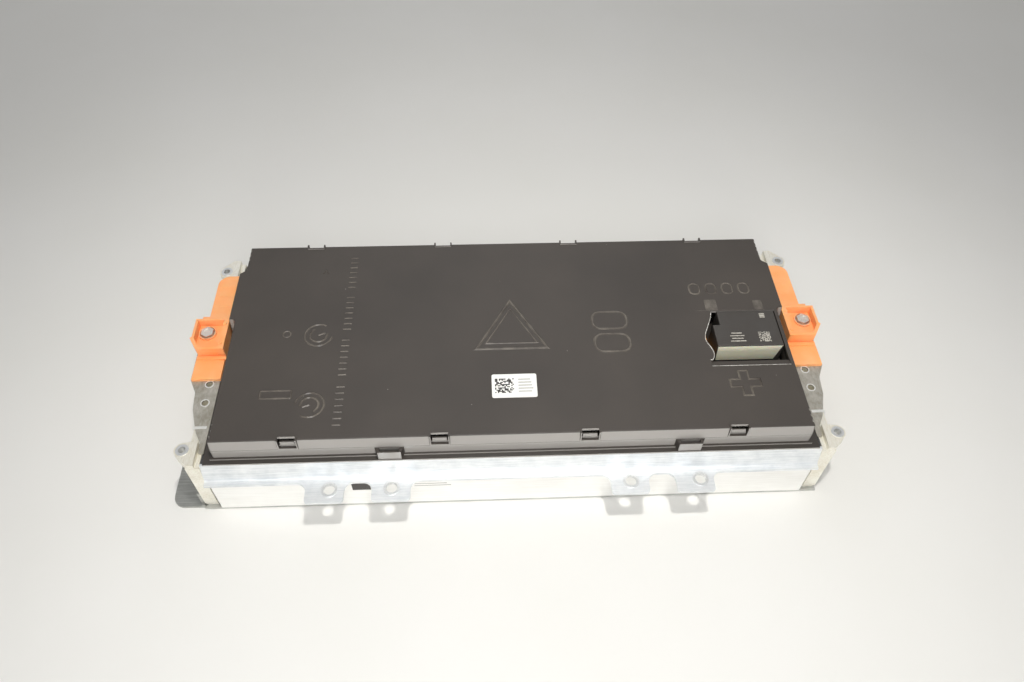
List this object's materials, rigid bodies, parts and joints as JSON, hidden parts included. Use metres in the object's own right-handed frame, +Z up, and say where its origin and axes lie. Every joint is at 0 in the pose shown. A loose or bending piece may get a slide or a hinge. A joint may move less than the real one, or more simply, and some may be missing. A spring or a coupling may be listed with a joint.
{
  "type": "ev battery module",
  "caption": "Traction battery module: welded aluminium frame round prismatic cells, clip-on black cover, orange terminal shrouds at both ends, front tabs and corner ears for bolting down.",
  "frame": {"origin": "centre of the underside of the base plate, between the rails and the end plates", "axes": "+X along the cell stack to the positive terminal end, +Y to the rear away from the bracket with tabs, +Z up"},
  "size_m": [0.6779, 0.3005, 0.104],
  "materials": {
    "cell_can": "drawn, satin",
    "busbar_aluminium": "rolled",
    "frame_sheet": "rolled, dull",
    "gap_pad": "soft, matte",
    "rail_aluminium": "extruded, satin",
    "end_plate_aluminium": "sawn, rough",
    "insulator_film": "film",
    "foam": "cellular",
    "bracket_aluminium": "folded, satin",
    "bush_steel": "turned, zinc plated",
    "black_plastic": "moulded, satin",
    "circuit": "flexible film",
    "unit_plastic": "moulded, fine texture",
    "cream_plastic": "moulded",
    "cover_plastic": "moulded, fine texture",
    "orange_plastic": "moulded, semi-gloss",
    "screw_steel": "zinc plated",
    "grey_sheet": "rolled, dull"
  },
  "bodies": {
    "root": {"base_plate": "frame_sheet", "busbar_1": "busbar_aluminium", "busbar_2": "busbar_aluminium", "busbar_3": "busbar_aluminium", "busbar_4": "busbar_aluminium", "busbar_5": "busbar_aluminium", "busbar_6": "busbar_aluminium", "busbar_7": "busbar_aluminium", "carrier": "black_plastic", "cell_01": "cell_can", "cell_02": "cell_can", "cell_03": "cell_can", "cell_04": "cell_can", "cell_05": "cell_can", "cell_06": "cell_can", "cell_07": "cell_can", "cell_08": "cell_can", "cell_09": "cell_can", "cell_10": "cell_can", "cell_11": "cell_can", "cell_12": "cell_can", "cell_13": "cell_can", "cell_14": "cell_can", "cell_15": "cell_can", "cell_16": "cell_can", "cell_17": "cell_can", "cell_18": "cell_can", "cell_19": "cell_can", "cell_20": "cell_can", "cell_21": "cell_can", "cell_22": "cell_can", "cell_23": "cell_can", "cell_24": "cell_can", "cell_spacers": "insulator_film", "compression_pads": "foam", "connector_header": "cream_plastic", "ear_bushes": "bush_steel", "end_insulators": "insulator_film", "end_plate_left": "end_plate_aluminium", "end_plate_right": "end_plate_aluminium", "end_sheet_left": "grey_sheet", "end_sheet_right": "grey_sheet", "foot": "frame_sheet", "front_bracket": "bracket_aluminium", "front_rail": "rail_aluminium", "monitoring_unit": "unit_plastic", "rear_rail": "rail_aluminium", "sensing_circuit": "circuit", "side_film_front": "insulator_film", "side_film_rear": "insulator_film", "tab_bushes": "bush_steel", "terminal_bolts": "screw_steel", "terminal_busbar_left": "busbar_aluminium", "terminal_busbar_right": "busbar_aluminium", "terminal_nuts": "screw_steel", "terminal_shroud_left": "orange_plastic", "terminal_shroud_right": "orange_plastic", "thermal_pad": "gap_pad", "top_cover": "cover_plastic"}
  },
  "joints": []
}
